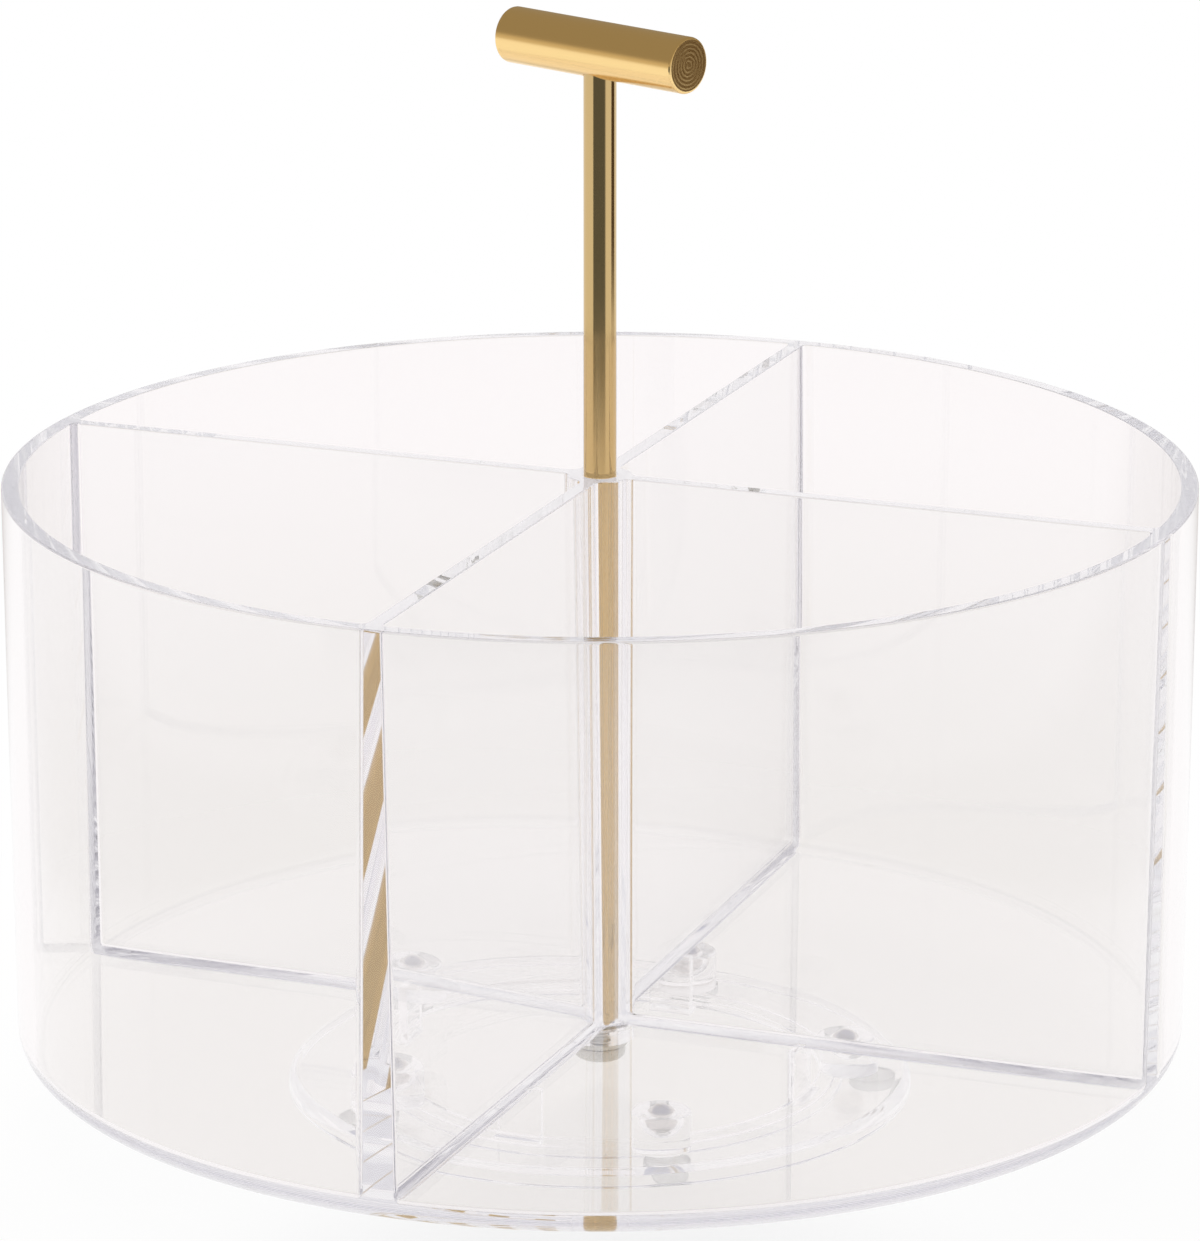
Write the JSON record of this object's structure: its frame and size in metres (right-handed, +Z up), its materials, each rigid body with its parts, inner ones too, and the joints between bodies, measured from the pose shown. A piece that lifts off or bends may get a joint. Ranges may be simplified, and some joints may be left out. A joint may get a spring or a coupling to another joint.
{
  "type": "spinning organizer",
  "caption": "Clear round bin with equal compartments and a gold T handle at its centre, turning on a low ball-bearing base ring.",
  "frame": {"origin": "on the spin axis, at the surface that the feet stand on", "axes": "+Z up along the spin axis; two dividers run along X and two along Y at rest"},
  "size_m": [0.229, 0.229, 0.2144],
  "materials": {
    "bin_clear_plastic": "clear, polished",
    "ring_clear_plastic": "clear, polished",
    "handle_gold": "polished gold plate",
    "plated_steel": "zinc plate",
    "ball_steel": "polished",
    "foot_soft_plastic": "soft, satin"
  },
  "bodies": {
    "base": {"base_ring": "ring_clear_plastic", "foot_1": "foot_soft_plastic", "foot_2": "foot_soft_plastic", "foot_3": "foot_soft_plastic", "foot_4": "foot_soft_plastic", "foot_5": "foot_soft_plastic"},
    "bin": {"divided_bin": "bin_clear_plastic", "handle_post": "handle_gold", "handle_bar": "handle_gold", "post_washer": "plated_steel", "post_screw": "plated_steel"},
    "bearing_ball_1": {"ball_1": "ball_steel"},
    "bearing_ball_2": {"ball_2": "ball_steel"},
    "bearing_ball_3": {"ball_3": "ball_steel"},
    "bearing_ball_4": {"ball_4": "ball_steel"},
    "bearing_ball_5": {"ball_5": "ball_steel"}
  },
  "joints": [
    {"name": "bin_spin", "type": "hinge", "parent": "base", "child": "bin", "pos_m": [0, 0, 0.0132], "axis": [0, 0, 1], "continuous": true},
    {"name": "ball_1_roll", "type": "hinge", "parent": "base", "child": "bearing_ball_1", "pos_m": [0.02805, -0.04006, 0.0099], "axis": [-0.5736, 0.8192, 0], "continuous": true},
    {"name": "ball_2_roll", "type": "hinge", "parent": "base", "child": "bearing_ball_2", "pos_m": [0.04676, 0.0143, 0.0099], "axis": [-0.9563, -0.2924, 0], "continuous": true},
    {"name": "ball_3_roll", "type": "hinge", "parent": "base", "child": "bearing_ball_3", "pos_m": [0.00085, 0.04889, 0.0099], "axis": [-0.0175, -0.9998, 0], "continuous": true},
    {"name": "ball_4_roll", "type": "hinge", "parent": "base", "child": "bearing_ball_4", "pos_m": [-0.04624, 0.01592, 0.0099], "axis": [0.9455, -0.3256, 0], "continuous": true},
    {"name": "ball_5_roll", "type": "hinge", "parent": "base", "child": "bearing_ball_5", "pos_m": [-0.02943, -0.03905, 0.0099], "axis": [0.6018, 0.7986, 0], "continuous": true}
  ],
  "couplings": [
    {"joint": "ball_1_roll", "follows": "bin_spin", "ratio": 16.3},
    {"joint": "ball_2_roll", "follows": "bin_spin", "ratio": 16.3},
    {"joint": "ball_3_roll", "follows": "bin_spin", "ratio": 16.3},
    {"joint": "ball_4_roll", "follows": "bin_spin", "ratio": 16.3},
    {"joint": "ball_5_roll", "follows": "bin_spin", "ratio": 16.3}
  ]
}
